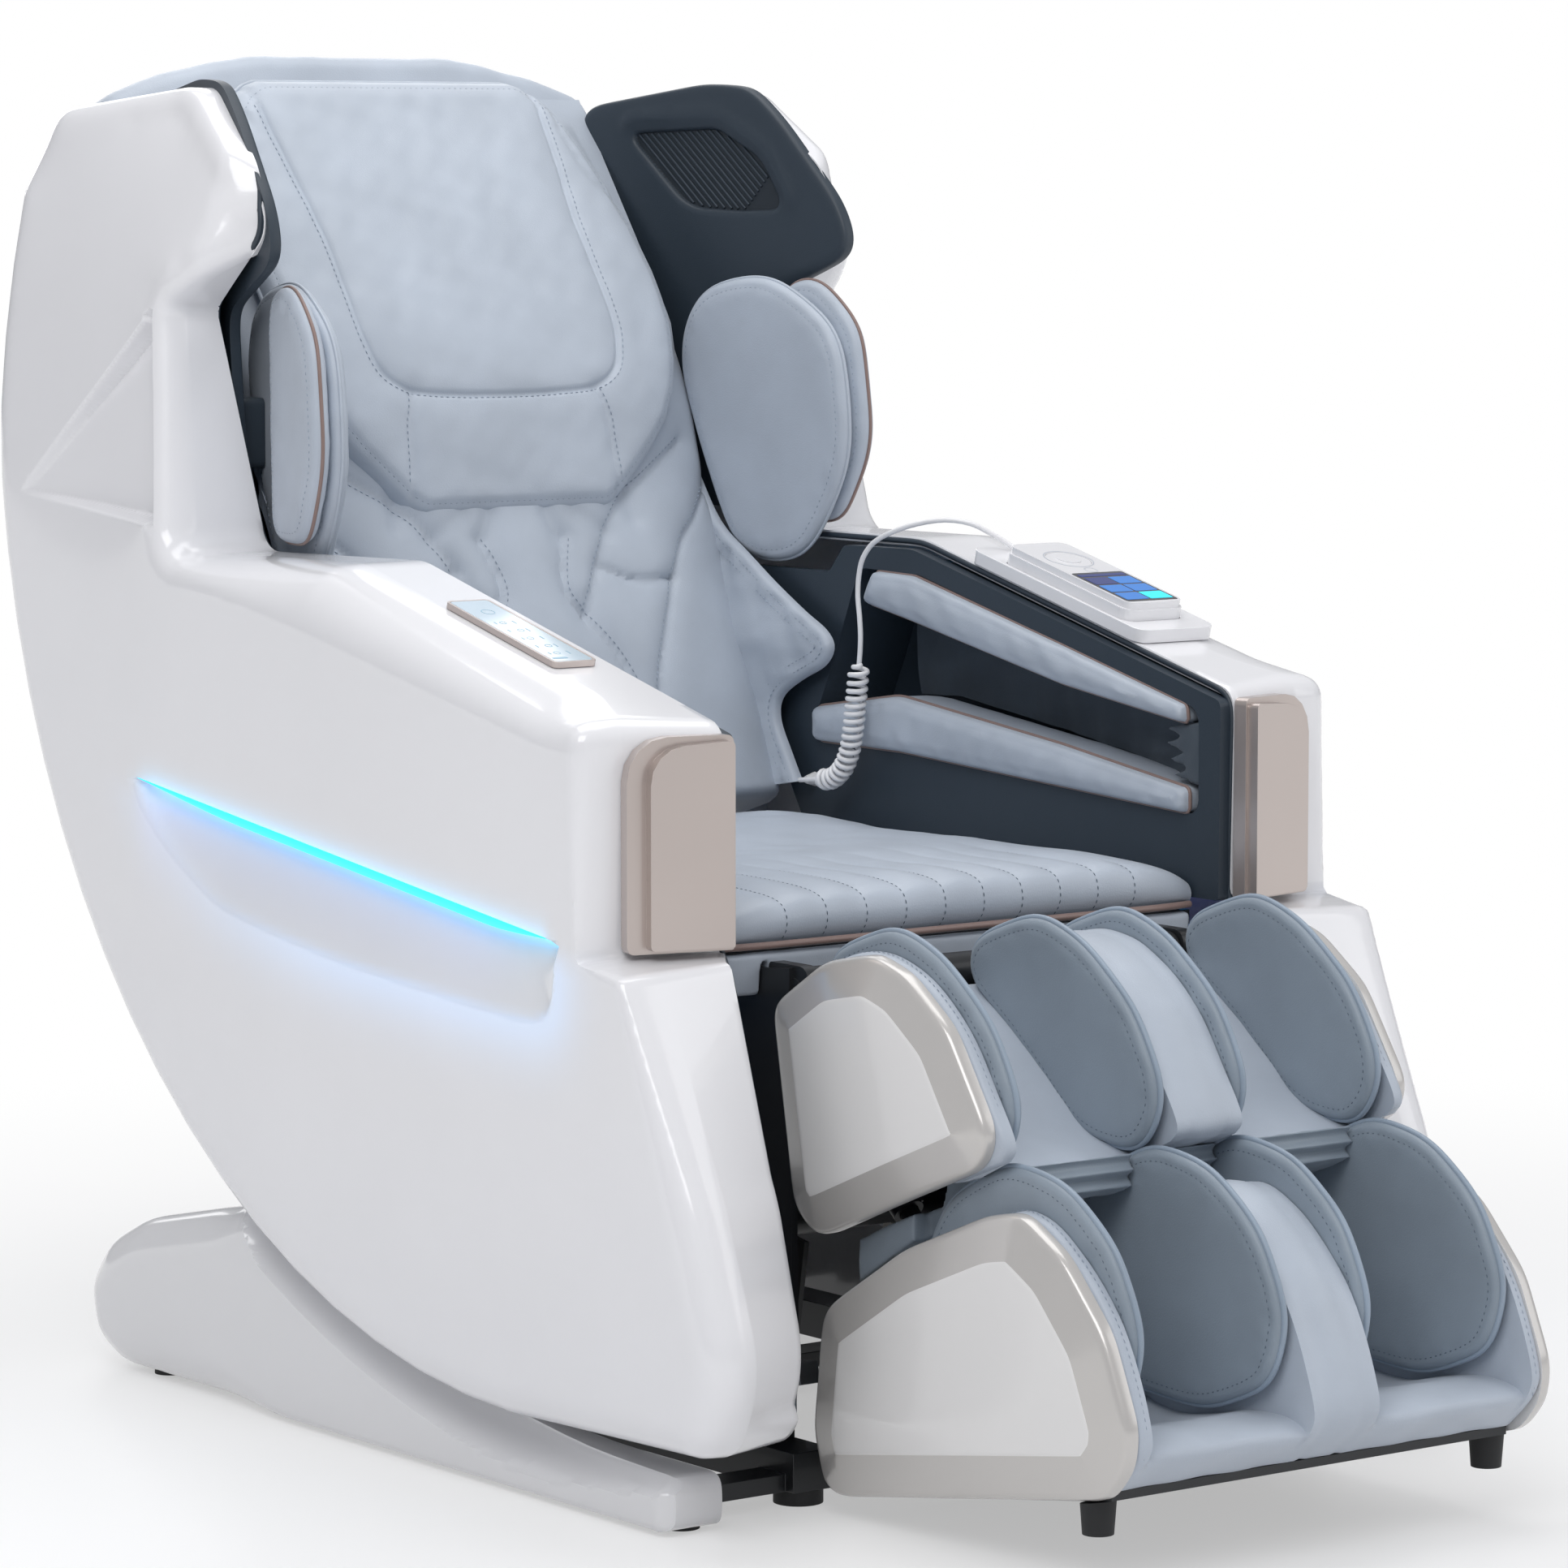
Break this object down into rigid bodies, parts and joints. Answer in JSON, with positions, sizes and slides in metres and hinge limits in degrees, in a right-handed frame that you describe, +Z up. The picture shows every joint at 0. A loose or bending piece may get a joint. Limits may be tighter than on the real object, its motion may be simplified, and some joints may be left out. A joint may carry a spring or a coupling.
{
  "type": "massage chair",
  "caption": "Half-moon shelled massage chair on a curved rail base, with arm slots, a corded handset and a lifting calf and foot rest.",
  "frame": {"origin": "middle of the bounding box at floor level", "axes": "+Z up, the sitter faces -Y, the sitter's left hand is +X"},
  "size_m": [0.772, 1.4046, 1.1465],
  "materials": {
    "white_shell": "glossy white moulded shell",
    "white_plastic": "glossy white moulding",
    "base_plastic": "satin pale grey",
    "black_steel": "black powder coat",
    "zinc_steel": "zinc plated",
    "bright_steel": "bright drawn steel",
    "rubber": "black rubber",
    "nylon": "natural nylon",
    "black_plastic": "black moulding",
    "slate_plastic": "dark slate moulding",
    "grille_plastic": "dark slate grille",
    "champagne": "champagne metallic satin",
    "key_glass": "pale blue back-painted panel",
    "screen_glass": "dark screen",
    "light_lens": "cyan light lens",
    "cord_white": "white cord jacket",
    "leather": "pale blue-grey leatherette",
    "leather_deep": "blue-grey leatherette, darker",
    "fabric_slate": "dark slate cloth",
    "fabric_grey": "grey cloth"
  },
  "bodies": {
    "base": {"base_runner_right": "base_plastic", "base_runner_left": "base_plastic", "base_frame": "black_steel", "base_feet": "rubber", "base_rear_cover": "base_plastic", "glide_shoes": "nylon", "power_unit": "zinc_steel", "mains_inlet": "black_plastic", "wheel_axle": "zinc_steel", "tilt_actuator": "zinc_steel"},
    "wheels": {"transport_wheels": "rubber"},
    "switch": {"power_switch": "black_plastic"},
    "rod": {"tilt_rod": "bright_steel"},
    "carriage": {"massage_carriage": "zinc_steel"},
    "kneading": {"kneading_arms": "black_plastic"},
    "handset": {"handset": "white_plastic", "handset_screen": "screen_glass"},
    "key": {"handset_key": "white_plastic"},
    "legrest": {"calf_frame": "black_steel", "calf_covers": "white_shell", "calf_pad": "leather", "calf_fins": "leather_deep", "leg_bellows": "fabric_grey"},
    "foot": {"foot_frame": "black_steel", "foot_covers": "white_shell", "foot_pad": "leather", "foot_fins": "leather_deep", "foot_feet": "rubber"},
    "chair": {"side_shell_right": "white_shell", "side_shell_left": "white_shell", "arm_liner_right": "slate_plastic", "arm_liner_left": "slate_plastic", "wing_liner_right": "slate_plastic", "wing_liner_left": "slate_plastic", "speaker_grilles": "grille_plastic", "arm_cap_right": "champagne", "arm_cap_left": "champagne", "key_panel": "champagne", "key_glass": "key_glass", "light_strips": "light_lens", "handset_dock": "white_plastic", "cord_gland": "cord_white", "cord_lower_lead": "cord_white", "cord_curl": "cord_white", "cord_upper_lead": "cord_white", "seat_frame": "black_steel", "arc_rails": "bright_steel", "back_frame": "black_steel", "back_shell": "slate_plastic", "back_pad": "leather", "head_pad": "leather", "shoulder_pads_front": "leather", "shoulder_pads_back": "leather", "arm_pads_upper": "leather", "arm_pads_lower": "leather", "arm_gussets": "fabric_slate", "seat_pad": "leather", "seat_apron": "leather"}
  },
  "joints": [
    {"name": "chair_tilt", "type": "hinge", "parent": "base", "child": "chair", "pos_m": [0, -0.15, 1.017], "axis": [-1, 0, 0], "range_deg": [0, 22]},
    {"name": "rod_slide", "type": "slide", "parent": "base", "child": "rod", "axis": [0, -1, 0], "range_m": [0, 0.3715]},
    {"name": "wheel_spin", "type": "hinge", "parent": "base", "child": "wheels", "pos_m": [0, 0.513, 0.028], "axis": [1, 0, 0], "continuous": true},
    {"name": "switch_rock", "type": "hinge", "parent": "base", "child": "switch", "pos_m": [-0.052, 0.538, 0.045], "axis": [1, 0, 0], "range_deg": [0, 12]},
    {"name": "carriage_slide", "type": "slide", "parent": "chair", "child": "carriage", "axis": [0, 0.225, 0.9744], "range_m": [-0.12, 0.095]},
    {"name": "knead_rock", "type": "hinge", "parent": "carriage", "child": "kneading", "pos_m": [0, 0.51914, 0.71965], "axis": [1, 0, 0], "range_deg": [-6, 6]},
    {"name": "handset_lift", "type": "slide", "parent": "chair", "child": "handset", "axis": [0, -0.248, 0.9688], "range_m": [0, 0.05], "deforming": ["cord_upper_lead"]},
    {"name": "key_press", "type": "slide", "parent": "handset", "child": "key", "axis": [0, 0.248, -0.9688], "range_m": [0, 0.0012], "stiffness_N_per_m": 400},
    {"name": "legrest_lift", "type": "hinge", "parent": "chair", "child": "legrest", "pos_m": [0, -0.274, 0.408], "axis": [-1, 0, 0], "range_deg": [0, 75]},
    {"name": "foot_extend", "type": "slide", "parent": "legrest", "child": "foot", "axis": [0, -0.766, -0.6428], "range_m": [0, 0.07], "deforming": ["leg_bellows"]}
  ],
  "couplings": [
    {"joint": "rod_slide", "follows": "chair_tilt", "m_per_rad": 0.9669}
  ]
}
